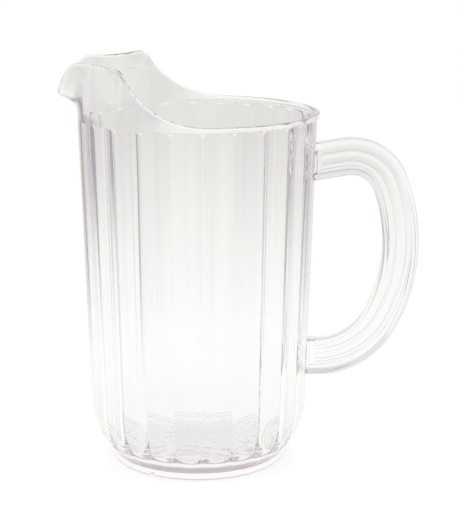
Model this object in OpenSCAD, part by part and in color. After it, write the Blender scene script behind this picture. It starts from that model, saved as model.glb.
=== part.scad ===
// Clear moulded beer pitcher: a fluted tapering body on a foot ring, a raised pouring spout with two
// ears, and a reeded D handle opposite the spout.
// Millimetres. The body's axis is Z and the foot stands on z = 0. The handle points to +X and the
// spout to -X.

/* [Body] */
// Height of the rim above the table
rim_z = 195.4; // [160:0.1:240]
// Outer radius of the wall just under the rim
wall_top_r = 65.1; // [61:0.1:75]
// How much narrower the wall is at the shoulder than under the rim, in radius
wall_taper = 4.6; // [1:0.1:8]
// Height where the straight wall meets the curved shoulder
shoulder_z = 34; // [28:0.5:46]
// How far the shoulder turns in from the wall to the foot
shoulder_in = 12.35; // [10:0.05:14]
// Thickness of the wall at the notches between flutes
wall_t = 2.6; // [2:0.1:3.5]

/* [Flutes] */
// Number of flutes round the inside of the wall
flute_n = 24; // [16:1:30]
// How far the middle of a flute swells inwards from its notches
flute_crown = 1.3; // [0.6:0.1:1.8]
// Plain band left between the top of a flute and the rim
flute_top_gap = 0.4; // [0.2:0.1:5]
// How far the arched top of a flute drops at its notches
flute_arch = 1.5; // [0.5:0.1:4]
// Height over which the top of a flute fades into the plain band
flute_fade = 0.8; // [0.6:0.1:4]
// Height above the floor over which the foot of a flute fades out
flute_foot = 5; // [3:0.5:20]

/* [Rim] */
// Height of the rim bead
rim_h = 3; // [2:0.1:6]
// How far the rim bead stands out from the wall under it
rim_step = 1.4; // [0.5:0.1:3]
// Radial thickness of the rim bead
rim_t = 3.9; // [3:0.1:6]

/* [Base] */
// How far the foot ring stands in from the lowest edge of the shoulder
foot_inset = 0.35; // [0:0.05:1.5]
// Height of the foot ring
foot_h = 4.2; // [3:0.1:8]
// Radial thickness of the foot ring
foot_t = 3.2; // [2:0.1:4.5]
// Width of the shoulder's curve, from the wall in to the textured floor disc
shoulder_w = 20.1; // [16:0.1:24]
// Thickness of the base under the shoulder
floor_t = 4.3; // [2.5:0.1:6]
// How far the floor disc stands above the shoulder's lowest line
floor_step = 0.5; // [0.3:0.1:1.5]
// Flat edge between the floor disc and the curve of the shoulder
floor_edge = 1; // [0.5:0.1:2]
// Width of the drain notch through the foot ring
drain_w = 2.8; // [1:0.1:6]
// Height of the drain notch
drain_h = 1.6; // [0.8:0.1:2.5]
// Direction of the drain notch round the foot, in degrees from the handle
drain_angle = -117; // [-180:1:180]

/* [Spout] */
// Height of the ears above the rim
spout_rise = 27.5; // [18:0.1:36]
// Angle from the spout's middle at which the rim starts to sweep up
sweep_end = 99.5; // [85:0.5:110]
// Angle from the spout's middle at which the rim's bead has died away into the collar
bead_end = 60; // [50:1:80]
// Radius of the upward sweep, measured along the rim
sweep_r = 60; // [52:0.5:66]
// Radius of the rounded corner at the top of each ear
ear_r = 10; // [4:0.5:14]
// How far the beak reaches out past the wall
beak_reach = 11.4; // [6:0.1:16]
// Half of the angle over which the beak leaves the collar
beak_half = 25; // [20:1:36]
// How far the pouring lip dips below the ears
lip_drop = 19.3; // [10:0.1:22]
// Half of the angle over which the pouring lip dips
lip_half = 20; // [15:1:30]
// How far the collar is drawn in at the neck on each side of the beak
neck_in = 7.2; // [0:0.1:9]
// Angle from the spout's middle to each side of the neck
neck_at = 35.5; // [30:0.5:45]
// Angle from there over which the drawing in fades
neck_fade = 16.5; // [10:0.5:20]
// Thickness of the collar and beak
spout_t = 2.6; // [2:0.1:3.5]

/* [Handle] */
// Distance from the rim down to where the middle of the upper arm meets the wall
arm_drop = 27.1; // [20:0.1:45]
// Angle at which the upper arm rises outwards
arm_rise = 10; // [0:0.5:16]
// Radius of the upper bend, at the middle of the handle
bend_r = 22.3; // [18:0.1:32]
// Angle turned in the upper bend
bend_turn = 78.8; // [70:0.1:90]
// Radius of the long outer curve
side_r = 93.3; // [70:0.1:120]
// Angle turned in the long outer curve
side_turn = 49.7; // [40:0.1:58]
// Radius of the lower bend
low_r = 39.8; // [30:0.1:46]
// Depth of the handle seen from the side
handle_d = 19.7; // [14:0.1:22]
// Width of the handle seen from the front
handle_w = 15; // [12:0.1:20]
// Rounding of the handle's long corners
handle_round = 3; // [1.5:0.1:3.2]
// Depth of the sunk panel on each flank of the handle
panel_d = 12.8; // [11:0.1:13]
// How far the panels are sunk
panel_t = 0.4; // [0.2:0.05:0.8]
// Length of the plain root between the body's wall and the panels
panel_root = 1.2; // [0.6:0.1:1.8]
// Distance between the middles of the two grooves in each panel
groove_gap = 5.7; // [4:0.1:7]
// Width of each groove
groove_w = 1.6; // [1.2:0.1:3]
// Depth of each groove
groove_t = 0.3; // [0.2:0.05:0.8]
// Length between the body's wall and the grooves
root_l = 3.5; // [2:0.1:4.5]
// Length of the grooves on the lower arm, between its root and the lower bend
low_groove_l = 0.5; // [0.3:0.1:6]

/* [Hidden] */
clear_plastic = [0.9, 0.92, 0.93, 0.55];
$fn = 96;

ledge_z = rim_z - rim_h;
wall_low_r = wall_top_r - wall_taper;
floor_r = wall_low_r - shoulder_w;
rim_r = wall_top_r + rim_step;
rim_inner_r = rim_r - rim_t;
floor_z = foot_h + floor_t;
bowl_r = floor_r + floor_edge;
flute_pitch = 360 / flute_n;
flute_steps = 6;
around = flute_n * flute_steps;
arch_steps = 6;
bowl_steps = 8;
shoulder_steps = 12;
cut = 1;

// Outer radius of the straight wall at height z
function wall_r(z) = wall_low_r + (wall_top_r - wall_low_r) * (z - shoulder_z) / (ledge_z - shoulder_z);

// Outer radius of the curved shoulder at height z
function shoulder_r(z) =
    wall_low_r - shoulder_in * pow((shoulder_z - z) / (shoulder_z - foot_h), 2);

foot_r = shoulder_r(foot_h) - foot_inset;

// Zero below a, one above b and straight between them
function ramp(a, b, x) = min(1, max(0, (x - a) / (b - a)));

// Distance from the middle of a flute, 0, to its notch, 1, with a flute centred on the handle
function across(angle) = 2 * abs((angle / flute_pitch + 0.5) - floor(angle / flute_pitch + 0.5) - 0.5);

// Height at which the flute at this angle ends under the rim
function flute_end(angle) = ledge_z - flute_top_gap - flute_arch * pow(across(angle), 2);

// Share of the full swell at this angle and height
function swell(angle, z) =
    (1 - pow(across(angle), 2))
    * (1 - ramp(flute_end(angle) - flute_fade, flute_end(angle), z))
    * ramp(floor_z, floor_z + flute_foot, z);

// One ring of the inner surface, at a notch radius and a height
function inner_ring(r, z) = [
    for (i = [0 : around - 1])
        let (angle = 360 * i / around, rr = r - flute_crown * swell(angle, z))
        [rr * cos(angle), rr * sin(angle), z]
];

// Heights of the rings through the arched tops of the flutes
function arch_levels() = [
    let (low = ledge_z - flute_top_gap - flute_arch - flute_fade, high = ledge_z - flute_top_gap)
    for (i = [0 : arch_steps]) low + (high - low) * i / arch_steps
];

// Closed solid through a list of rings with equal numbers of points
module loft(rings) {
    n = len(rings[0]);
    last = len(rings) - 1;
    points = [for (ring = rings) each ring];
    sides = [
        for (i = [0 : last - 1], j = [0 : n - 1])
            let (a = i * n + j, b = i * n + (j + 1) % n, c = a + n, d = b + n)
            each [[a, d, b], [a, c, d]]
    ];
    first_cap = [
        for (j = [0 : n / 2 - 2])
            each [[j, j + 1, n - 1 - j], [j + 1, n - 2 - j, n - 1 - j]]
    ];
    last_cap = [for (face = first_cap) [for (k = [2, 1, 0]) face[k] + last * n]];
    polyhedron(points = points, faces = concat(sides, first_cap, last_cap), convexity = 8);
}

// The hollow inside the pitcher, from the floor to just above the wall's top
module cavity() {
    bowl_w = wall_low_r - wall_t - bowl_r;
    bowl_h = shoulder_z - floor_z;
    bowl = [
        for (i = [0 : bowl_steps])
            let (a = 90 * i / bowl_steps)
            inner_ring(bowl_r + bowl_w * sin(a), shoulder_z - bowl_h * cos(a))
    ];
    arches = [for (z = arch_levels()) inner_ring(wall_r(z) - wall_t, z)];
    top = [inner_ring(wall_r(ledge_z) - wall_t, ledge_z + cut)];
    loft(concat([inner_ring(floor_r - cut, floor_z)], bowl, arches, top));
}

// Solid inside the wall's outer face, or one grown outside it, from the shoulder to the rim's ledge
module wall_core(grown = 0) {
    translate([0, 0, shoulder_z])
        cylinder(r1 = wall_low_r + grown, r2 = wall_top_r + grown, h = ledge_z - shoulder_z);
}

// Straight tapering side wall, smooth outside and fluted inside
module body_wall() {
    color(clear_plastic)
    difference() {
        wall_core();
        cavity();
    }
}

// Solid inside the shoulder's outer face, outside a radius
module shoulder_core(inner_r) {
    outline = [
        for (i = [0 : shoulder_steps])
            let (z = foot_h + (shoulder_z - foot_h) * sin(90 * i / shoulder_steps))
            [shoulder_r(z), z]
    ];
    rotate_extrude()
        polygon(concat([[inner_r, foot_h]], outline, [[inner_r, shoulder_z]]));
}

// Curved shoulder that turns the wall in to the base
module base_shoulder() {
    color(clear_plastic)
    difference() {
        shoulder_core(floor_r);
        cavity();
    }
}

// Disc that closes the base, a little above the shoulder's lowest line
module base_floor() {
    color(clear_plastic)
    translate([0, 0, foot_h])
        cylinder(r = floor_r, h = floor_t + floor_step);
}

// Ring that the pitcher stands on, with a notch that lets wash water drain
module foot_ring() {
    color(clear_plastic)
    difference() {
        rotate_extrude()
            translate([foot_r - foot_t, 0])
                square([foot_t, foot_h]);
        rotate([0, 0, drain_angle])
            translate([foot_r - foot_t - cut, -drain_w / 2, -cut])
                cube([foot_t + 2 * cut, drain_w, drain_h + cut]);
    }
}

// Thickened rim round the handle side of the mouth
module rim_bead() {
    color(clear_plastic)
    rotate([0, 0, sweep_end - 180])
        rotate_extrude(angle = 360 - 2 * sweep_end)
            translate([rim_inner_r, ledge_z])
                square([rim_t, rim_h]);
}

// How sharply the pouring lip dips and the beak's keel curls outwards
lip_power = 1.84;
keel_power = 1.75;

// Share of the full beak at an angle from the spout's middle
function beak(angle) = abs(angle) < beak_half ? cos(90 * angle / beak_half) : 0;

// Share of the pouring lip's full dip
function lip(angle) = abs(angle) < lip_half ? pow(cos(90 * angle / lip_half), lip_power) : 0;

// Share of the full drawing in at the neck
function neck(angle) = exp(-pow((abs(angle) - neck_at) / neck_fade, 2));

// Share of the rim's bead that the collar keeps
function bead(angle) = let (u = ramp(bead_end, sweep_end, abs(angle))) u * u * (3 - 2 * u);

// The rim's upward sweep, by distance s along the rim from the spout's middle: an arc that rises
// from the rim and a small rounded corner at the ear
sweep_turn = acos(1 - spout_rise / (sweep_r + ear_r));
sweep_s = rim_r * sweep_end * PI / 180;
sweep_top_s = sweep_s - sweep_r * sin(sweep_turn);
ear_s = sweep_top_s - ear_r * sin(sweep_turn);
function swept_z(s) =
    s >= sweep_s ? rim_z
    : s > sweep_top_s ? rim_z + sweep_r - sqrt(pow(sweep_r, 2) - pow(sweep_s - s, 2))
    : s > ear_s ? rim_z + spout_rise - ear_r + sqrt(pow(ear_r, 2) - pow(s - ear_s, 2))
    : rim_z + spout_rise;

// Height of the spout's top edge at an angle from its middle
function edge_z(angle) =
    swept_z(rim_r * abs(angle) * PI / 180) - lip_drop * lip(angle);

// Point on the spout's outer face, t of the way from the ledge to the top edge
function spout_point(angle, t) =
    let (
        z = ledge_z + (edge_z(angle) - ledge_z) * t,
        curl = beak(angle) > 0 ? pow(ramp(rim_z, edge_z(angle), z), keel_power) : 0,
        drawn = neck(angle) * ramp(rim_z, rim_z + spout_rise, z),
        r = wall_top_r + rim_step * bead(angle) + beak_reach * beak(angle) * curl - neck_in * drawn
    )
    [r * cos(180 + angle), r * sin(180 + angle), z];

// Point on the spout's inner face, one wall thickness in along the surface normal
slope_step = 0.01;
function spout_inner(angle, t) =
    let (
        p = spout_point(angle, t),
        along = spout_point(angle + slope_step, t) - spout_point(angle - slope_step, t),
        up = spout_point(angle, min(1, t + slope_step)) - spout_point(angle, max(0, t - slope_step)),
        normal = cross(along, up),
        thick = spout_t + (rim_t - spout_t) * bead(angle) * (1 - ramp(ledge_z, rim_z + rim_h, p.z))
    )
    p - thick * normal / norm(normal);

// Closed cross-section of the spout at an angle
spout_levels = 9;
function spout_section(angle) = concat(
    [for (i = [0 : spout_levels]) spout_inner(angle, i / spout_levels)],
    [for (i = [0 : spout_levels]) spout_point(angle, 1 - i / spout_levels)]
);

// Collar that sweeps up from the rim to two ears, with the beak and its pouring lip between them
spout_stations = 98;
module pouring_spout() {
    color(clear_plastic)
    loft([
        for (i = [0 : spout_stations])
            spout_section(-sweep_end + 2 * sweep_end * i / spout_stations)
    ]);
}

// Cross-sections of the two sunk panels, one on each flank of the handle
module panel_sections() {
    for (sy = [-1, 1])
        translate([0, sy * handle_w / 2])
            square([panel_d, 2 * panel_t], center = true);
}

// Cross-sections of the four shallow grooves, two in each panel
module groove_sections() {
    for (sx = [-1, 1], sy = [-1, 1])
        translate([sx * groove_gap / 2, sy * (handle_w / 2 - panel_t)])
            scale([groove_w / 2, groove_t])
                circle(r = 1, $fn = 32);
}

// Cross-section of the handle: a rounded bar, plain or with its panels and grooves
module handle_section(grooved) {
    difference() {
        union() {
            square([handle_d - 2 * handle_round, handle_w], center = true);
            square([handle_d, handle_w - 2 * handle_round], center = true);
            for (sx = [-1, 1], sy = [-1, 1])
                translate([sx * (handle_d / 2 - handle_round), sy * (handle_w / 2 - handle_round)])
                    circle(r = handle_round);
        }
        if (grooved) {
            panel_sections();
            groove_sections();
        }
    }
}

// The handle's middle line: a point is [x, z] and a heading is degrees from +X towards +Z
function heading(h) = [cos(h), sin(h)];
function outward(h) = [-sin(h), cos(h)];
function bend_centre(p, h, r) = p - r * outward(h);
function bend_end(p, h, r, turn) = bend_centre(p, h, r) + r * outward(h - turn);
side_h = arm_rise - bend_turn;
low_h = side_h - side_turn;
low_turn = 180 + low_h;
low_arm_l = root_l + low_groove_l;

// The upper arm is as long as it must be for the three bends to bring the lower arm back to the wall
wall_slope = (wall_top_r - wall_low_r) / (ledge_z - shoulder_z);
arm_z = rim_z - arm_drop;
arm_p = [wall_r(arm_z), arm_z];
bends = bend_end(bend_end(bend_end([0, 0], arm_rise, bend_r, bend_turn), side_h, side_r, side_turn),
    low_h, low_r, low_turn);
arm_l = (low_arm_l + wall_slope * bends.y - bends.x) / (cos(arm_rise) - wall_slope * sin(arm_rise));
bend_p = arm_p + arm_l * heading(arm_rise);
side_p = bend_end(bend_p, arm_rise, bend_r, bend_turn);
low_p = bend_end(side_p, side_h, side_r, side_turn);
foot_p = bend_end(low_p, low_h, low_r, low_turn);

// Length by which an arm runs into the wall before it is trimmed to the wall's face
embed = handle_w / 2;

// Turns a shape that rises from the origin so that it runs from p along heading h
module along(p, h) {
    translate([p.x, 0, p.y])
        rotate([0, 90 - h, 0])
            children();
}

// A straight length of the handle from p along heading h, with its panels, which end at a plain root
// on the wall, and with grooves between two distances
module straight(p, h, length, groove_from, groove_to) {
    difference() {
        along(p, h)
            linear_extrude(height = length)
                handle_section(false);
        difference() {
            along(p - cut * heading(h), h)
                linear_extrude(height = length + 2 * cut)
                    panel_sections();
            wall_core(panel_root);
        }
        along(p + groove_from * heading(h), h)
            linear_extrude(height = groove_to - groove_from)
                groove_sections();
    }
}

// A bend of the handle from p at heading h, turning towards the body
module bend(p, h, r, turn) {
    centre = bend_centre(p, h, r);
    translate([centre.x, 0, centre.y])
        rotate([90, 0, 0])
            rotate([0, 0, h + 90 - turn])
                rotate_extrude(angle = turn)
                    translate([r, 0])
                        handle_section(true);
}

// Upper arm, from the wall to the upper bend, with a plain root where it meets the wall
module upper_handle_arm() {
    color(clear_plastic)
    difference() {
        straight(arm_p - embed * heading(arm_rise), arm_rise, embed + arm_l,
            embed + root_l, embed + arm_l + cut);
        wall_core();
    }
}

// Tight bend at the top of the D
module upper_handle_bend() {
    color(clear_plastic)
    bend(bend_p, arm_rise, bend_r, bend_turn);
}

// Long reeded side of the D that the hand holds
module handle_grip() {
    color(clear_plastic)
    bend(side_p, side_h, side_r, side_turn);
}

// Wide bend at the foot of the D
module lower_handle_bend() {
    color(clear_plastic)
    bend(low_p, low_h, low_r, low_turn);
}

// Lower arm, from the lower bend back to the wall
module lower_handle_arm() {
    color(clear_plastic)
    difference() {
        straight(foot_p, 180, low_arm_l + embed, -cut, low_groove_l);
        wall_core();
        shoulder_core(0);
    }
}

body_wall();
base_shoulder();
base_floor();
foot_ring();
rim_bead();
pouring_spout();
upper_handle_arm();
upper_handle_bend();
handle_grip();
lower_handle_bend();
lower_handle_arm();
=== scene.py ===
"""A clear moulded beer pitcher: fluted tapering body on a foot ring, swept spout, reeded D handle.

The real pitcher is one moulding. Each of its regions is a closed piece here, and where two of them
meet, both are closed by seam faces that light passes straight through, so no seam shows.
Metres, in the frame of the solids: Z is the body's axis, the handle points to +X, the spout to -X.
"""

import math

import bpy
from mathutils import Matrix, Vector


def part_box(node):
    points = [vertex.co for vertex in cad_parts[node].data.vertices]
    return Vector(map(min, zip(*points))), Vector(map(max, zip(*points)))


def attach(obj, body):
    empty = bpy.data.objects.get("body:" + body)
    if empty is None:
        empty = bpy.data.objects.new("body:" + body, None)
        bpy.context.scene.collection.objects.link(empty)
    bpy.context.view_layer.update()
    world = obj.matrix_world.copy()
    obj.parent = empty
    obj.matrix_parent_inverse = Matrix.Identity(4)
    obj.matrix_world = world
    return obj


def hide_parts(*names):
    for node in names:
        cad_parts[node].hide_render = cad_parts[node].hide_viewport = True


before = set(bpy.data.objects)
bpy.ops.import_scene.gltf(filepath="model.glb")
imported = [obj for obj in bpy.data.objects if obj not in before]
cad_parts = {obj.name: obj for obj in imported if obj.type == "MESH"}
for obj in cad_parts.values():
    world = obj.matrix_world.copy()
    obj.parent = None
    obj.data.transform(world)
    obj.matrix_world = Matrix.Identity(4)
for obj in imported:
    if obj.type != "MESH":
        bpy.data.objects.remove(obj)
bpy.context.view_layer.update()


# Camera: a long lens a little above the rim, looking down on the pitcher's side with the handle on
# the right. Its place was worked out from the rim, foot and handle in the photograph.
FOCAL_PIXELS = 1617.4
PHOTO_HEIGHT_PIXELS = 512
SENSOR_HEIGHT = 36
CAMERA_DISTANCE = 0.8754
CAMERA_HEIGHT = 0.3168
CAMERA_ROUND = math.radians(5.1)
CAMERA_TILT = 0.2276
CAMERA_ASIDE = 0.0199

bpy.ops.object.camera_add(
    location=(
        CAMERA_DISTANCE * math.sin(CAMERA_ROUND),
        -CAMERA_DISTANCE * math.cos(CAMERA_ROUND),
        CAMERA_HEIGHT,
    ),
    rotation=(math.pi / 2 - CAMERA_TILT, 0, CAMERA_ROUND - CAMERA_ASIDE),
)
camera = bpy.context.object
camera.name = "camera"
camera.data.sensor_fit = "VERTICAL"
camera.data.sensor_height = SENSOR_HEIGHT
camera.data.lens = FOCAL_PIXELS * SENSOR_HEIGHT / PHOTO_HEIGHT_PIXELS
bpy.context.scene.camera = camera


# White sweep: the pale table that the pitcher stands on and the white room round it. The camera
# sees plain white with a soft shadow; the plastic sees the table with painted shade, greyer far off.
class Wire:
    """A shader value: operators add Math nodes, and node() adds any other kind of node."""

    def __init__(self, tree, socket):
        self.tree = tree
        self.socket = socket

    def node(self, kind, settings=None, output=0, **inputs):
        """Adds a node. An input is named with _ for each blank, or by its number after an i."""
        made = self.tree.nodes.new(kind)
        for name, value in (settings or {}).items():
            setattr(made, name, value)
        for name, value in inputs.items():
            key = int(name[1:]) if name[1:].isdigit() else name.replace("_", " ")
            plug(self.tree, made.inputs[key], value)
        return Wire(self.tree, made.outputs[output])

    def math(self, operation, *others):
        inputs = {f"i{k}": value for k, value in enumerate((self, *others))}
        return self.node("ShaderNodeMath", {"operation": operation}, **inputs)

    def __add__(self, other):
        return self.math("ADD", other)

    def __sub__(self, other):
        return self.math("SUBTRACT", other)

    def __mul__(self, other):
        return self.math("MULTIPLY", other)

    def __rsub__(self, other):
        return -1 * self + other

    __radd__ = __add__
    __rmul__ = __mul__

    def ramp(self, low, high):
        """Zero at low, one at high and smooth between them."""
        return self.node(
            "ShaderNodeMapRange",
            {"interpolation_type": "SMOOTHSTEP"},
            Value=self, From_Min=low, From_Max=high,
        )

    def blend(self, first, second):
        """The first colour where this is zero and the second where it is one."""
        return self.node(
            "ShaderNodeMix",
            {"data_type": "RGBA"},
            output=2,
            i0=self, i6=opaque(first), i7=opaque(second),
        )


def plug(tree, socket, value):
    """Links a wire to a socket, or sets the socket to a plain value."""
    if isinstance(value, Wire):
        tree.links.new(value.socket, socket)
    else:
        socket.default_value = value


def opaque(colour):
    """A colour with its alpha added; a wire stays as it is."""
    return (*colour, 1) if isinstance(colour, tuple) else colour


def shade(owner, build):
    """Gives a material or a world the shader that build makes from a wire to start from."""
    owner.use_nodes = True
    tree = owner.node_tree
    tree.nodes.clear()
    kind = "World" if isinstance(owner, bpy.types.World) else "Material"
    output = tree.nodes.new("ShaderNodeOutput" + kind)
    plug(tree, output.inputs["Surface"], build(Wire(tree, None)))
    return owner


def light_path(start, ray):
    """One for the rays of a kind and zero for all others."""
    return start.node("ShaderNodeLightPath", output=ray)


def object_place(start):
    """The place on the piece, in the frame of the solids."""
    return start.node("ShaderNodeTexCoord", output="Object")


def length_of(place):
    return place.node("ShaderNodeVectorMath", {"operation": "LENGTH"}, output="Value", i0=place)


def part_of(place, axis):
    return place.node("ShaderNodeSeparateXYZ", output=axis, i0=place)


WHITE = (1.0, 1.0, 1.0)
PAPER = (0.9, 0.9, 0.9)
TABLE_RADIUS = 8.0
TABLE_SIDES = 64
# Painted shade on the table, seen only through the plastic: a little darker right under the base.
TABLE_UNDER_SHADE = (0.96, 0.955, 0.95)
TABLE_WHITE = (1.0, 1.0, 0.985)
# Painted shade: the table greys with distance, as the light falls off far from the lamps.
TABLE_FAR_SHADE = (0.80, 0.788, 0.765)
TABLE_UNLIT_SHADE = (0.38, 0.352, 0.385)
UNDER_R = 0.040
WHITE_R = 0.060
GREY_FROM = 0.25
GREY_TO = 1.25
SHADOW_R = 0.5
SHADOW_SHARE = 0.35

# Unlit zones of the table: the degrees from straight in front or behind over which each sets in and
# ends, and the distances over which it darkens.
DIM_ZONES = (
    ((25, 40), (44, 56), (0.10, 0.55)),
    ((44, 56), (76, 88), (0.42, 0.95)),
)


def white_sweep(start):
    """White paper with a soft shadow to the camera; to the plastic, a table of painted shade that
    greys far off.
    """
    place = object_place(start)
    away = length_of(place)
    aside = part_of(place, "X").math("ABSOLUTE")
    ahead = part_of(place, "Y").math("ABSOLUTE")
    bearing = aside.math("ARCTAN2", ahead)
    # Painted shade: the table is darkened in the unlit zones to each side.
    dim = 0
    for first, last, reach in DIM_ZONES:
        begun = bearing.ramp(*map(math.radians, first))
        ended = bearing.ramp(*map(math.radians, last))
        dim = begun * (1 - ended) * away.ramp(*reach) + dim
    # Painted shade: the table is a little darker right under the base.
    near = away.ramp(UNDER_R, WHITE_R).blend(TABLE_UNDER_SHADE, TABLE_WHITE)
    # Painted shade: the table greys with distance from the pitcher.
    far = start.node("ShaderNodeMapRange", Value=away, From_Min=GREY_FROM, From_Max=GREY_TO)
    seen = dim.blend(far.blend(near, TABLE_FAR_SHADE), TABLE_UNLIT_SHADE)
    through = start.node("ShaderNodeEmission", Color=seen)
    lit = start.node("ShaderNodeBsdfDiffuse", Color=opaque(PAPER))
    white = start.node("ShaderNodeEmission", Color=opaque(WHITE))
    shaded = SHADOW_SHARE * (1 - away.ramp(0.0, SHADOW_R))
    paper = start.node("ShaderNodeMixShader", i0=shaded, i1=white, i2=lit)
    clear_ray = light_path(start, "Is Glossy Ray") + light_path(start, "Is Transmission Ray")
    beyond = start.node("ShaderNodeMixShader", i0=clear_ray, i1=lit, i2=through)
    camera_ray = light_path(start, "Is Camera Ray")
    return start.node("ShaderNodeMixShader", i0=camera_ray, i1=beyond, i2=paper)


bpy.ops.mesh.primitive_circle_add(vertices=TABLE_SIDES, radius=TABLE_RADIUS, fill_type="NGON")
table = bpy.context.object
table.name = "table"
table.data.materials.append(shade(bpy.data.materials.new("white_sweep"), white_sweep))

ROOM_SIDE = (0.80, 0.785, 0.80)
ROOM_TOP = (0.54, 0.515, 0.545)
ROOM_SIDE_AT = 0.15
ROOM_TOP_AT = 0.60


def white_room(start):
    """Plain white to the camera and the table, and walls that darken upwards to the plastic."""
    direction = start.node("ShaderNodeTexCoord", output="Generated")
    walls = part_of(direction, "Z").ramp(ROOM_SIDE_AT, ROOM_TOP_AT).blend(ROOM_SIDE, ROOM_TOP)
    plain = light_path(start, "Is Camera Ray") + light_path(start, "Is Diffuse Ray")
    return start.node("ShaderNodeBackground", Color=plain.blend(walls, WHITE))


bpy.context.scene.world = shade(bpy.data.worlds.new("white_room"), white_room)

# Square lamps: each one's place, side and power in watts.
LAMPS = {
    "lamp_left": ((-0.9, -0.5, 1.1), 0.7, 9),
    "lamp_right": ((0.9, -0.3, 1.2), 0.7, 7),
    "lamp_back": ((0.0, 1.0, 1.2), 0.8, 8),
}
LAMP_AIM = Vector((0, 0, 0.1))
for name, (spot, side, power) in LAMPS.items():
    bpy.ops.object.light_add(type="AREA", location=spot)
    lamp = bpy.context.object
    lamp.name = name
    lamp.data.size = side
    lamp.data.energy = power
    lamp.visible_glossy = False
    lamp.visible_transmission = False
    lamp.rotation_euler = (LAMP_AIM - Vector(spot)).to_track_quat("-Z", "Y").to_euler()

# Light goes to and fro in the rim and the handle many times before it leaves the plastic.
LIGHT_BOUNCES = 60
bpy.context.scene.view_settings.view_transform = "Standard"
bpy.context.scene.cycles.max_bounces = LIGHT_BOUNCES
bpy.context.scene.cycles.transmission_bounces = LIGHT_BOUNCES
bpy.context.scene.cycles.glossy_bounces = LIGHT_BOUNCES
bpy.context.scene.cycles.transparent_max_bounces = 2 * LIGHT_BOUNCES


# Clear plastic: colourless polished polycarbonate, with the faint ripple of a moulded surface and
# fine scuffs near the foot. Lamps shine through it, so that its shadow is as pale as the real one.
MM = 0.001
PLASTIC_INDEX = 1.57
LAMP_SHARE = 0.8
RIPPLE_SCALE = 45.0
RIPPLE_DETAIL = 1.0
RIPPLE_HIGH = 0.4 * MM
RIPPLE_STRENGTH = 0.05
RIPPLE_TINTS = (0.985, 0.99, 0.985), (1.0, 1.0, 0.995)
SCUFF_SCALE = 900.0
SCUFF_DETAIL = 3.0
SCUFF_RANGE = 0.5, 0.75
SCUFF_TOP = 20 * MM
SCUFF_ROUGH = 0.05


def clear_plastic(name, finish):
    """A clear plastic whose finish gives its colour, roughness and normal."""

    def moulded(start):
        colour, roughness, normal = finish(start)
        body = start.node(
            "ShaderNodeBsdfPrincipled",
            Base_Color=colour, Roughness=roughness, Normal=normal,
            IOR=PLASTIC_INDEX, Transmission_Weight=1.0,
        )
        lamp_ray = light_path(start, "Is Shadow Ray") * LAMP_SHARE
        pass_light = start.node("ShaderNodeBsdfTransparent", Color=opaque(WHITE))
        return start.node("ShaderNodeMixShader", i0=lamp_ray, i1=body, i2=pass_light)

    return shade(bpy.data.materials.new(name), moulded)


def polished(start):
    place = object_place(start)
    ripple = start.node("ShaderNodeTexNoise", Vector=place, Scale=RIPPLE_SCALE, Detail=RIPPLE_DETAIL)
    scuffs = start.node("ShaderNodeTexNoise", Vector=place, Scale=SCUFF_SCALE, Detail=SCUFF_DETAIL)
    worn = (1 - part_of(place, "Z").ramp(0.0, SCUFF_TOP)) * scuffs.ramp(*SCUFF_RANGE)
    normal = start.node(
        "ShaderNodeBump", Height=ripple, Strength=RIPPLE_STRENGTH, Distance=RIPPLE_HIGH
    )
    return ripple.blend(*RIPPLE_TINTS), SCUFF_ROUGH * worn, normal


polished_plastic = clear_plastic("polished_plastic", polished)


# Foot ring: the plain ring moulded under the base that the pitcher stands on, with rounded edges
# and one small notch that lets wash water drain when it stands upside down.
COLUMNS = 384
TINY = 0.01 * MM
MERGE_GAP = 0.002 * MM
FLAT_NORMAL = 0.9
SMOOTH_ANGLE = math.radians(40)
FOOT_THICK = 3.2 * MM
FOOT_ROUND = 0.7 * MM
FOOT_ROUND_STEPS = 5
DRAIN_WIDE = 2.8 * MM
DRAIN_HIGH = 1.6 * MM
DRAIN_TURN = math.radians(-117)

foot_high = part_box("foot_ring")[1]
foot_r = foot_high.y
foot_z = foot_high.z
foot_inner_r = foot_r - FOOT_THICK
foot_middle_r = foot_r - FOOT_THICK / 2


def arc(centre, radius, first, last, steps):
    """Points of a rounded corner, between two angles in degrees."""
    return [
        (
            centre[0] + radius * math.cos(math.radians(first + (last - first) * k / steps)),
            centre[1] + radius * math.sin(math.radians(first + (last - first) * k / steps)),
        )
        for k in range(steps + 1)
    ]


def select_only(piece):
    bpy.ops.object.select_all(action="DESELECT")
    piece.select_set(True)
    bpy.context.view_layer.objects.active = piece


def sketch(name, points):
    """Draws a chain of edges through points, one extruded vertex after another, in edit mode."""
    bpy.ops.object.select_all(action="DESELECT")
    bpy.ops.mesh.primitive_plane_add(size=MM)
    piece = bpy.context.object
    piece.name = name
    bpy.ops.object.mode_set(mode="EDIT")
    bpy.ops.mesh.select_all(action="SELECT")
    bpy.ops.mesh.merge(type="CENTER")
    bpy.ops.transform.translate(value=points[0])
    for here, there in zip(points, points[1:]):
        bpy.ops.mesh.extrude_vertices_move(
            TRANSFORM_OT_translate={"value": Vector(there) - Vector(here)}
        )
    return piece


def close_up():
    """Merges what a sweep left double, and points all faces outwards."""
    bpy.ops.mesh.select_all(action="SELECT")
    bpy.ops.mesh.remove_doubles(threshold=MERGE_GAP)
    bpy.ops.mesh.normals_make_consistent(inside=False)
    bpy.ops.object.mode_set(mode="OBJECT")


def turned(name, outline):
    """A ring or disc, turned on the body's axis from an outline of (radius, height) points."""
    piece = sketch(name, [(r, 0, z) for r, z in outline])
    bpy.ops.mesh.select_all(action="SELECT")
    bpy.ops.mesh.spin(steps=COLUMNS, angle=2 * math.pi, center=(0, 0, 0), axis=(0, 0, 1))
    close_up()
    return piece


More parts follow.
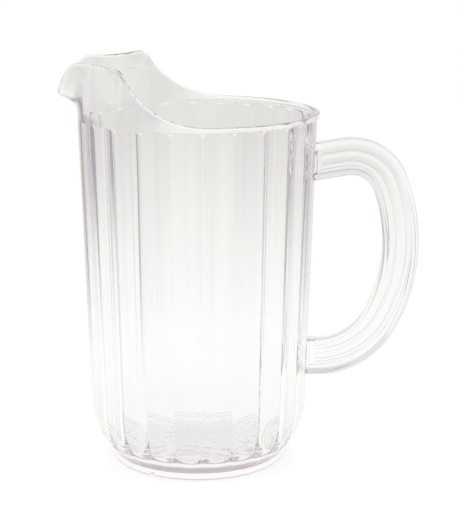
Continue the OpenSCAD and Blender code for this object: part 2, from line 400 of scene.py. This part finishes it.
def cut(piece, tool):
    """Takes a tool's shape out of a piece with a Boolean modifier, and removes the tool."""
    select_only(piece)
    bpy.ops.object.modifier_add(type="BOOLEAN")
    modifier = piece.modifiers[-1]
    modifier.operation = "DIFFERENCE"
    modifier.solver = "EXACT"
    modifier.object = tool
    bpy.ops.object.modifier_apply(modifier=modifier.name)
    bpy.data.objects.remove(tool)


def seam_face(name, tint):
    """A face inside the moulding, where two pieces meet: light passes straight through it."""

    def seam(start):
        return start.node("ShaderNodeBsdfTransparent", Color=opaque(tint))

    return shade(bpy.data.materials.new(name), seam)


def flat_at(face, z):
    """Whether a face lies level at a height."""
    return abs(face.center.z - z) < TINY and abs(face.normal.z) > FLAT_NORMAL


def finish_piece(piece, plastic, slot, nodes, *seams):
    """Gives a piece its plastic, its seam faces, smooth shading and its place on the body.

    Each seam is a material and a test for the faces that wear it.
    """
    piece.data.materials.clear()
    piece.data.materials.append(plastic)
    for face in piece.data.polygons:
        face.material_index = 0
    for index, (seam, wears_it) in enumerate(seams, 1):
        piece.data.materials.append(seam)
        for face in piece.data.polygons:
            if wears_it(face):
                face.material_index = index
    select_only(piece)
    bpy.ops.object.shade_smooth_by_angle(angle=SMOOTH_ANGLE)
    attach(piece, "root")
    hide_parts(*nodes)


clear_seam = seam_face("clear_seam", WHITE)
foot_outline = (
    [(foot_inner_r, foot_z)]
    + arc((foot_inner_r + FOOT_ROUND, FOOT_ROUND), FOOT_ROUND, 180, 270, FOOT_ROUND_STEPS)
    + arc((foot_r - FOOT_ROUND, FOOT_ROUND), FOOT_ROUND, -90, 0, FOOT_ROUND_STEPS)
    + [(foot_r, foot_z), (foot_inner_r, foot_z)]
)
foot_ring = turned("foot_ring", foot_outline)
bpy.ops.object.select_all(action="DESELECT")
bpy.ops.mesh.primitive_cube_add(
    size=1,
    location=(foot_middle_r * math.cos(DRAIN_TURN), foot_middle_r * math.sin(DRAIN_TURN), 0),
    rotation=(0, 0, DRAIN_TURN),
)
drain = bpy.context.object
drain.scale = (2 * FOOT_THICK, DRAIN_WIDE, 2 * DRAIN_HIGH)
bpy.ops.object.transform_apply(location=True, rotation=True, scale=True)
cut(foot_ring, drain)
finish_piece(
    foot_ring, polished_plastic, "clear_plastic", ["foot_ring"],
    (clear_seam, lambda face: flat_at(face, foot_z)),
)


# Floor disc: the middle of the base slab, with a hammered stipple on its upper face that hides
# scratches and looks frosted. It is moulded in one with the base and stands a small step above it.
FLOOR_STEP = 0.5 * MM
STEP_ROUND = 0.15 * MM
STEP_ROUND_STEPS = 3
STIPPLE_SCALE = 330.0
STIPPLE_STRETCH = (1, 0.3, 1)
STIPPLE_CELL = 0.1, 0.4
STIPPLE_INNER = 14 * MM, 20 * MM
STIPPLE_OUTER = 36 * MM, 38 * MM
STIPPLE_LOWER = 6 * MM, 8 * MM
STIPPLE_HIGH = 0.4 * MM
FROST_SCALE = 70.0
FROST_ROUGH = 0.02
# Painted shade: the slab's colour darkens towards its middle, standing in for the shade under the
# base.
SLAB_SHADE_TINTS = (0.90, 0.893, 0.88), (0.98, 0.98, 0.965)
SLAB_SHADE_R = 40 * MM
SLAB_SEAM_TINT = (0.975, 0.96, 0.975)

floor_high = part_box("base_floor")[1]
floor_r = floor_high.x
floor_top = floor_high.z
bowl_z = floor_top - FLOOR_STEP


def hammered(start):
    place = object_place(start)
    away = length_of(place)
    textured = away.ramp(*STIPPLE_INNER) * (1 - away.ramp(*STIPPLE_OUTER))
    textured *= part_of(place, "Z").ramp(*STIPPLE_LOWER)
    stretched = start.node(
        "ShaderNodeVectorMath", {"operation": "MULTIPLY"}, i0=place, i1=STIPPLE_STRETCH
    )
    cells = start.node("ShaderNodeTexVoronoi", Vector=stretched, Scale=STIPPLE_SCALE)
    grains = (1 - cells.ramp(*STIPPLE_CELL)) * textured
    normal = start.node("ShaderNodeBump", Height=grains, Strength=1.0, Distance=STIPPLE_HIGH)
    frost = start.node("ShaderNodeTexNoise", Vector=place, Scale=FROST_SCALE, Detail=0.0)
    # Painted shade: darker towards the middle of the slab, for the shade under the base.
    colour = away.ramp(0.0, SLAB_SHADE_R).blend(*SLAB_SHADE_TINTS)
    return colour, FROST_ROUGH * frost * textured, normal


def radius_of(point):
    """Distance from the body's axis."""
    return math.hypot(point.x, point.y)


hammered_plastic = clear_plastic("hammered_plastic", hammered)
slab_seam = seam_face("slab_seam", SLAB_SEAM_TINT)
floor_outline = (
    [(0, foot_z), (floor_r, foot_z), (floor_r, bowl_z)]
    + arc((floor_r - STEP_ROUND, floor_top - STEP_ROUND), STEP_ROUND, 0, 90, STEP_ROUND_STEPS)
    + [(0, floor_top)]
)
base_floor = turned("base_floor", floor_outline)
finish_piece(
    base_floor, hammered_plastic, "stippled_plastic", ["base_floor"],
    (slab_seam, lambda face: radius_of(face.center) > floor_r - TINY and face.center.z < bowl_z),
)


# Shoulder: the round turn from the wall down to the base, moulded in one with both. Outside it is
# smooth, and inside the flutes of the wall run down it and fade out at the floor disc.
WALL_THICK = 2.6 * MM
FLUTES = 24
FLUTE_CROWN = 1.3 * MM
FLUTE_FOOT = 5 * MM
NOTCH_HALF = 0.55 * MM
LIP_COLUMN = 1 - 2 * FLUTES / COLUMNS
FLOOR_EDGE = 1.0 * MM
FOOT_INSET = 0.35 * MM
SHOULDER_ROWS = 28
SEAM_RISE = 2 * MM

wall_low, wall_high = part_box("body_wall")
wall_top_r = wall_high.y
shoulder_z = wall_low.z
ledge_z = wall_high.z
wall_low_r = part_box("base_shoulder")[1].y
bowl_r = floor_r + FLOOR_EDGE
seam_z = shoulder_z + SEAM_RISE
shoulder_in = wall_low_r - foot_r - FOOT_INSET


def wall_r(z):
    """Outer radius of the straight wall."""
    return wall_low_r + (wall_top_r - wall_low_r) * (z - shoulder_z) / (ledge_z - shoulder_z)


def shoulder_r(z):
    """Outer radius of the shoulder."""
    return wall_low_r - shoulder_in * ((shoulder_z - z) / (shoulder_z - foot_z)) ** 2


def share_of(first, last, value):
    """Zero at first, one at last and straight between them."""
    return max(0, min(1, (value - first) / (last - first)))


def gather_to_notch(point):
    """Turns a point round the axis, so that the columns beside a notch stand close to it.

    Returns how far across its flute the point then lies: zero in the middle and one in a notch.
    A flute is centred on the handle.
    """
    radius = radius_of(point)
    turn = math.atan2(point.y, point.x) * FLUTES / (2 * math.pi)
    middle = round(turn)
    across = 2 * (turn - middle)
    lip = 1 - NOTCH_HALF / (math.pi * radius / FLUTES)
    share = abs(across) / LIP_COLUMN
    moved = share * lip if share < 1 else 1 - (1 - abs(across)) / (1 - LIP_COLUMN) * (1 - lip)
    angle = (middle + math.copysign(moved, across) / 2) * 2 * math.pi / FLUTES
    point.x = radius * math.cos(angle)
    point.y = radius * math.sin(angle)
    return moved


def flute_depth(across):
    """How far a flute swells inwards: a lens shape."""
    return FLUTE_CROWN * (1 - across ** 2)


def swell_in(point, depth):
    """Moves a point towards the body's axis."""
    share = 1 - depth / radius_of(point)
    point.x *= share
    point.y *= share


outer_curve = []
inner_curve = []
for k in range(SHOULDER_ROWS + 1):
    turn = math.pi / 2 * k / SHOULDER_ROWS
    outer_z = foot_z + (shoulder_z - foot_z) * math.sin(turn)
    outer_curve.append((shoulder_r(outer_z), outer_z))
    inner_curve.append((
        bowl_r + (wall_low_r - WALL_THICK - bowl_r) * math.sin(turn),
        shoulder_z - (shoulder_z - bowl_z) * math.cos(turn),
    ))
shoulder_outline = (
    [(floor_r, foot_z), (foot_inner_r, foot_z), (foot_r, foot_z)]
    + outer_curve
    + [(wall_r(seam_z), seam_z), (wall_r(seam_z) - WALL_THICK, seam_z)]
    + inner_curve[::-1]
    + [(floor_r, bowl_z), (floor_r, foot_z)]
)
base_shoulder = turned("base_shoulder", shoulder_outline)
for vertex in base_shoulder.data.vertices:
    point = vertex.co
    across = gather_to_notch(point)
    outside = shoulder_r(point.z) if point.z < shoulder_z else wall_r(point.z)
    if point.z > bowl_z and radius_of(point) < outside - WALL_THICK / 2:
        grown = share_of(bowl_z, bowl_z + FLUTE_FOOT, point.z)
        swell_in(point, grown * flute_depth(across))


def on_foot_or_wall(face):
    """Whether a face of the shoulder meets the foot ring or the wall."""
    on_foot = flat_at(face, foot_z) and foot_inner_r < radius_of(face.center) < foot_r
    return on_foot or flat_at(face, seam_z)


def on_floor_disc(face):
    """Whether a face of the shoulder meets the floor disc's edge."""
    return radius_of(face.center) < floor_r + TINY and foot_z < face.center.z < bowl_z


finish_piece(
    base_shoulder, polished_plastic, "clear_plastic", ["base_shoulder"],
    (clear_seam, on_foot_or_wall),
    (slab_seam, on_floor_disc),
)


# Handle: a D of rounded bar, moulded on the wall. Each flank has a sunk panel with two fine grooves
# in it, and the arms meet the wall with a plain root.
HANDLE_DEEP = 19.7 * MM
HANDLE_ROUND = 3 * MM
HANDLE_ROUND_STEPS = 8
PANEL_HALF = 6.4 * MM
PANEL_SUNK = 0.4 * MM
PANEL_STEP = 0.4 * MM
UPPER_END_STEP = 0.4 * MM
LOWER_END_STEP = 0.2 * MM
PANEL_ROOT = 1.2 * MM
GROOVE_GAP = 5.7 * MM
GROOVE_HALF = 0.8 * MM
GROOVE_DEEP = 0.3 * MM
GROOVE_FLAT = 0.4
GROOVE_STEPS = 20
GROOVE_END_ROWS = 5
ROOT_LONG = 3.5 * MM
LOW_GROOVE_LONG = 0.5 * MM
ARM_DROP = 27.1 * MM
ARM_RISE = math.radians(10)
BEND_R = 22.3 * MM
BEND_TURN = math.radians(78.8)
SIDE_R = 93.3 * MM
SIDE_TURN = math.radians(49.7)
LOW_R = 39.8 * MM
ROOT_SUNK = 1.4 * MM
ROOT_MARGIN = 0.05 * MM
ROOT_SEAM_TINT = (0.90, 0.87, 0.905)
ROW_LONG = 1.0 * MM
LEAST_ROWS = 2
SEEK_ROUNDS = 20

rim_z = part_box("rim_bead")[1].z
handle_wide = 2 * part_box("handle_grip")[1].y


def heading(turn):
    """The direction of the bar's middle line, by its angle from +X towards +Z."""
    return Vector((math.cos(turn), 0, math.sin(turn)))


def outward(turn):
    """The direction across the bar, towards the outside of the D."""
    return Vector((-math.sin(turn), 0, math.cos(turn)))


def bend_centre(point, turn, radius):
    return point - radius * outward(turn)


def bend_end(point, turn, radius, angle):
    return bend_centre(point, turn, radius) + radius * outward(turn - angle)


# The upper arm is as long as it must be for the bends to bring the lower arm back to the wall.
side_heading = ARM_RISE - BEND_TURN
low_heading = side_heading - SIDE_TURN
low_turn = math.pi + low_heading
low_arm_long = ROOT_LONG + LOW_GROOVE_LONG
slope = (wall_top_r - wall_low_r) / (ledge_z - shoulder_z)
bends = bend_end(Vector((0, 0, 0)), ARM_RISE, BEND_R, BEND_TURN)
bends = bend_end(bends, side_heading, SIDE_R, SIDE_TURN)
bends = bend_end(bends, low_heading, LOW_R, low_turn)
arm_long = (low_arm_long + slope * bends.z - bends.x) / (
    math.cos(ARM_RISE) - slope * math.sin(ARM_RISE)
)
arm_start = Vector((wall_r(rim_z - ARM_DROP), 0, rim_z - ARM_DROP))
bend_start = arm_start + arm_long * heading(ARM_RISE)
side_start = bend_end(bend_start, ARM_RISE, BEND_R, BEND_TURN)
low_start = bend_end(side_start, side_heading, SIDE_R, SIDE_TURN)
arm_end = bend_end(low_start, low_heading, LOW_R, low_turn)


def smooth(first, last, value):
    """Zero at first, one at last and smooth between them."""
    share = share_of(first, last, value)
    return share * share * (3 - 2 * share)


def bar_outline():
    """The bar's section as (depth, width) points: rounded corners, panels and their grooves."""
    half_deep = HANDLE_DEEP / 2 - HANDLE_ROUND
    half_wide = handle_wide / 2 - HANDLE_ROUND
    panel_wide = handle_wide / 2 - PANEL_SUNK
    points = arc((half_deep, half_wide), HANDLE_ROUND, 0, 90, HANDLE_ROUND_STEPS)
    points += [(PANEL_HALF, handle_wide / 2), (PANEL_HALF - PANEL_STEP, panel_wide)]
    for side in (1, -1):
        for k in range(GROOVE_STEPS + 1):
            aside = 1 - 2 * k / GROOVE_STEPS
            sunk = GROOVE_DEEP * smooth(1, GROOVE_FLAT, abs(aside))
            points += [(side * GROOVE_GAP / 2 + GROOVE_HALF * aside, panel_wide - sunk)]
    points += [(PANEL_STEP - PANEL_HALF, panel_wide), (-PANEL_HALF, handle_wide / 2)]
    points += arc((-half_deep, half_wide), HANDLE_ROUND, 90, 180, HANDLE_ROUND_STEPS)
    return points + [(-depth, -width) for depth, width in points]


def rows_along(length):
    return max(LEAST_ROWS, round(length / ROW_LONG))


def arm_stops(length, end_step):
    """Distances of an arm's rows from the wall, close together where the panel and grooves end."""
    groove_end = [ROOT_LONG + GROOVE_HALF * k / GROOVE_END_ROWS for k in range(GROOVE_END_ROWS + 1)]
    rows = rows_along(length)
    even_rows = [length * k / rows for k in range(1, rows + 1)]
    stops = [0, PANEL_ROOT, PANEL_ROOT + end_step]
    stops += [stop for stop in groove_end if stop < length]
    stops += [stop for stop in even_rows if stop > groove_end[-1] + TINY]
    return stops if stops[-1] == length else stops + [length]


def run_straight(direction, stops):
    """Extrudes the selected section along a direction, with a row at each stop."""
    for here, there in zip(stops, stops[1:]):
        bpy.ops.mesh.extrude_region_move(
            TRANSFORM_OT_translate={"value": direction * (there - here)}
        )


def run_bend(point, turn, radius, angle):
    """Spins the selected section round a bend of the D."""
    bpy.ops.mesh.spin(
        steps=rows_along(radius * angle), angle=-angle, axis=(0, 1, 0),
        center=bend_centre(point, turn, radius),
    )


def along_to_wall(point, direction, sunk):
    """How far along a direction the wall's outer face lies from a point, sunk by a depth."""
    distance = 0
    for _ in range(SEEK_ROUNDS):
        there = point + distance * direction
        distance -= (radius_of(there) - wall_r(there.z) + sunk) / direction.x
    return distance


section = [
    arm_start - ROOT_SUNK * heading(ARM_RISE) + depth * outward(ARM_RISE) + Vector((0, width, 0))
    for depth, width in bar_outline()
]
handle = sketch("handle", section + section[:1])
bpy.ops.mesh.select_all(action="SELECT")
bpy.ops.mesh.remove_doubles(threshold=MERGE_GAP)
run_straight(heading(ARM_RISE), [-ROOT_SUNK] + arm_stops(arm_long, UPPER_END_STEP))
run_bend(bend_start, ARM_RISE, BEND_R, BEND_TURN)
run_bend(side_start, side_heading, SIDE_R, SIDE_TURN)
run_bend(low_start, low_heading, LOW_R, low_turn)
run_straight(heading(0), arm_stops(low_arm_long, LOWER_END_STEP)[::-1] + [-ROOT_SUNK])
bpy.ops.mesh.select_all(action="DESELECT")
bpy.ops.mesh.select_non_manifold()
bpy.ops.mesh.edge_face_add()
close_up()

# The rows next to the wall follow its curve: the last lies inside it and the one before on its
# face. On the plain root the panels and grooves are filled up.
flank_y = handle_wide / 4
for root, turn, long, end_step in (
    (arm_start, ARM_RISE, arm_long, UPPER_END_STEP),
    (arm_end + low_arm_long * heading(math.pi), 0, low_arm_long, LOWER_END_STEP),
):
    along = heading(turn)
    for vertex in handle.data.vertices:
        reach = (vertex.co - root).dot(along)
        depth = (vertex.co - root).dot(outward(turn))
        if reach > long + TINY or abs(depth) > HANDLE_DEEP:
            continue
        if abs(depth) < PANEL_HALF and abs(vertex.co.y) > flank_y:
            sunk = handle_wide / 2 - abs(vertex.co.y)
            groove = max(0, sunk - PANEL_SUNK)
            sunk = (sunk - groove) * share_of(PANEL_ROOT, PANEL_ROOT + end_step, reach)
            sunk += groove * smooth(ROOT_LONG, ROOT_LONG + GROOVE_HALF, reach)
            vertex.co.y = math.copysign(handle_wide / 2 - sunk, vertex.co.y)
        row = vertex.co - reach * along
        if reach < -TINY:
            vertex.co = row + along_to_wall(row, along, ROOT_SUNK) * along
        else:
            to_wall = along_to_wall(row, along, 0)
            vertex.co = row + (to_wall + (long - to_wall) * reach / long) * along
root_seam = seam_face("root_seam", ROOT_SEAM_TINT)
finish_piece(
    handle, polished_plastic, "clear_plastic",
    [
        "upper_handle_arm", "upper_handle_bend", "handle_grip", "lower_handle_bend",
        "lower_handle_arm",
    ],
    (root_seam, lambda face: radius_of(face.center) < wall_r(face.center.z) - ROOT_MARGIN),
)


# Wall: the straight tapering side, moulded in one with the rest and smooth outside. Inside, each
# flute swells like a lens, meets the next in a notch and ends under the rim in a low arch. The
# handle's two roots grow out of it.
FLUTE_TOP_GAP = 0.4 * MM
FLUTE_ARCH = 1.5 * MM
FLUTE_FADE = 0.15 * MM
WALL_ROWS = 20
ARCH_RUN = 20 * MM
SEAT_PULL = 0.5 * MM

fade_top = ledge_z - FLUTE_TOP_GAP
fade_low = fade_top - FLUTE_FADE
heights = [seam_z + (ledge_z - seam_z) * k / WALL_ROWS for k in range(WALL_ROWS + 1)]
inner_heights = [z for z in heights if z < fade_low - 2 * FLUTE_FADE]
inner_heights += [fade_low - FLUTE_FADE, fade_low, fade_top, ledge_z]
wall_outline = (
    [(wall_r(z), z) for z in heights]
    + [(wall_r(z) - WALL_THICK, z) for z in inner_heights[::-1]]
    + [(wall_r(seam_z), seam_z)]
)
body_wall = turned("body_wall", wall_outline)
for vertex in body_wall.data.vertices:
    point = vertex.co
    across = gather_to_notch(point)
    if radius_of(point) < wall_r(point.z) - WALL_THICK / 2:
        swell_in(point, share_of(fade_top, fade_low, point.z) * flute_depth(across))
        below = share_of(fade_low - ARCH_RUN, fade_low, point.z)
        above = share_of(ledge_z, fade_top, point.z)
        point.z -= FLUTE_ARCH * across ** 2 * below * above

# The seats are cut with a copy of the handle whose rows on the wall's face are pulled out of it, so
# that the cut leaves no slivers.
select_only(handle)
bpy.ops.object.duplicate()
seat_tool = bpy.context.object
arms_middle_z = (arm_start.z + arm_end.z) / 2
for vertex in seat_tool.data.vertices:
    if abs(radius_of(vertex.co) - wall_r(vertex.co.z)) < TINY:
        vertex.co += SEAT_PULL * heading(ARM_RISE if vertex.co.z > arms_middle_z else 0)
cut(body_wall, seat_tool)


def in_handle_seat(face):
    """Whether a face of the wall lies in one of the two seats that the handle's roots fill."""
    depth = wall_r(face.center.z) - radius_of(face.center)
    return (
        face.center.x > 0
        and abs(face.center.y) < handle_wide / 2 + TINY
        and ROOT_MARGIN < depth < ROOT_SUNK + ROOT_MARGIN
        and seam_z < face.center.z < fade_low
    )


finish_piece(
    body_wall, polished_plastic, "clear_plastic", ["body_wall"],
    (clear_seam, lambda face: flat_at(face, seam_z) or flat_at(face, ledge_z)),
    (root_seam, in_handle_seat),
)


# Rim and spout: the top of the moulding. The thick rim on the handle side sweeps up to two ears on
# the spout side and thins to a collar flush with the wall. Between the ears the collar is drawn in,
# and its beak curls outwards.
RIM_THICK = 3.9 * MM
SPOUT_THICK = 2.6 * MM
SPOUT_RISE = 27.5 * MM
SWEEP_END = 99.5
BEAD_END = 60
SWEEP_R = 60 * MM
EAR_R = 10 * MM
BEAK_REACH = 11.4 * MM
BEAK_HALF = 25
LIP_DROP = 19.3 * MM
LIP_HALF = 20
LIP_POWER = 1.84
KEEL_POWER = 1.75
NECK_IN = 7.2 * MM
NECK_AT = 35.5
NECK_FADE = 16.5
RIM_ROUND = 0.5 * MM
RIM_ROUND_STEPS = 4
TOP_ROUND = 1.2 * MM
TOP_STEPS = 14
SPOUT_ROWS = 22
TURN_STEP = 0.05

rim_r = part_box("rim_bead")[1].x
rim_inner_r = rim_r - RIM_THICK
rim_high = rim_z - ledge_z
half_thick = RIM_THICK / 2
sweep_turn = math.acos(1 - SPOUT_RISE / (SWEEP_R + EAR_R))
sweep_s = rim_r * math.radians(SWEEP_END)
sweep_top_s = sweep_s - SWEEP_R * math.sin(sweep_turn)
ear_s = sweep_top_s - EAR_R * math.sin(sweep_turn)


def middle_share(turn, half):
    """One in the spout's middle and zero beyond an angle on each side of it, both in degrees."""
    return max(0, math.cos(math.radians(90 * min(1, abs(turn) / half))))


def edge_z(turn):
    """Height of the top edge at an angle from the spout's middle."""
    s = rim_r * math.radians(abs(turn))
    if s >= sweep_s:
        z = rim_z
    elif s > sweep_top_s:
        z = rim_z + SWEEP_R - math.sqrt(SWEEP_R ** 2 - (sweep_s - s) ** 2)
    elif s > ear_s:
        z = rim_z + SPOUT_RISE - EAR_R + math.sqrt(EAR_R ** 2 - (s - ear_s) ** 2)
    else:
        z = rim_z + SPOUT_RISE
    return z - LIP_DROP * middle_share(turn, LIP_HALF) ** LIP_POWER


def bead(turn):
    """Share of the rim's bead that the collar keeps."""
    return smooth(BEAD_END, SWEEP_END, abs(turn))


def collar_point(turn, high):
    """A point of the collar's outer face; high runs from 0 at the ledge to the rim's height."""
    top = edge_z(turn)
    if high < RIM_ROUND:
        z = ledge_z + high
    elif high > rim_high - TOP_ROUND:
        z = top - rim_high + high
    else:
        share = (high - RIM_ROUND) / (rim_high - TOP_ROUND - RIM_ROUND)
        z = ledge_z + RIM_ROUND + share * (top - TOP_ROUND - ledge_z - RIM_ROUND)
    beak = middle_share(turn, BEAK_HALF)
    curl = beak * share_of(rim_z, top, z) ** KEEL_POWER if top > rim_z else 0
    neck = math.exp(-((abs(turn) - NECK_AT) / NECK_FADE) ** 2)
    drawn = neck * share_of(rim_z, rim_z + SPOUT_RISE, z)
    r = wall_top_r + (rim_r - wall_top_r) * bead(turn) + BEAK_REACH * curl - NECK_IN * drawn
    angle = math.radians(180 + turn)
    return Vector((r * math.cos(angle), r * math.sin(angle), z))


def collar_place(turn, high, deep):
    """A point inside the collar; deep runs from 0 on the outer face to 1 on the inner face."""
    point = collar_point(turn, high)
    along = collar_point(turn + TURN_STEP, high) - collar_point(turn - TURN_STEP, high)
    up = collar_point(turn, min(high + TINY, rim_high)) - collar_point(turn, max(high - TINY, 0))
    normal = along.cross(up).normalized()
    thin = share_of(ledge_z, rim_z + rim_high, point.z)
    thick = SPOUT_THICK + (RIM_THICK - SPOUT_THICK) * bead(turn) * (1 - thin)
    if high < RIM_ROUND and deep * RIM_THICK < RIM_ROUND + TINY:
        deep *= bead(turn)
    return point - deep * thick * normal


body_rows = [
    RIM_ROUND + (rim_high - TOP_ROUND - RIM_ROUND) * k / SPOUT_ROWS for k in range(SPOUT_ROWS + 1)
]
rim_outline = (
    [(wall_top_r, ledge_z)]
    + arc((rim_r - RIM_ROUND, ledge_z + RIM_ROUND), RIM_ROUND, -90, 0, RIM_ROUND_STEPS)
    + [(rim_r, ledge_z + high) for high in body_rows[1:-1]]
    + [
        (rim_r - half_thick + half_thick * math.cos(a), rim_z - TOP_ROUND + TOP_ROUND * math.sin(a))
        for a in [math.pi * k / TOP_STEPS for k in range(TOP_STEPS + 1)]
    ]
    + [(rim_inner_r, ledge_z + high) for high in body_rows[-2::-1]]
    + [(rim_inner_r, ledge_z), (wall_top_r, ledge_z)]
)
rim_and_spout = turned("rim_and_spout", rim_outline)
for vertex in rim_and_spout.data.vertices:
    point = vertex.co
    turn = math.degrees(math.atan2(-point.y, -point.x))
    vertex.co = collar_place(turn, point.z - ledge_z, (rim_r - radius_of(point)) / RIM_THICK)
finish_piece(
    rim_and_spout, polished_plastic, "clear_plastic", ["rim_bead", "pouring_spout"],
    (clear_seam, lambda face: flat_at(face, ledge_z) and radius_of(face.center) < wall_top_r),
)
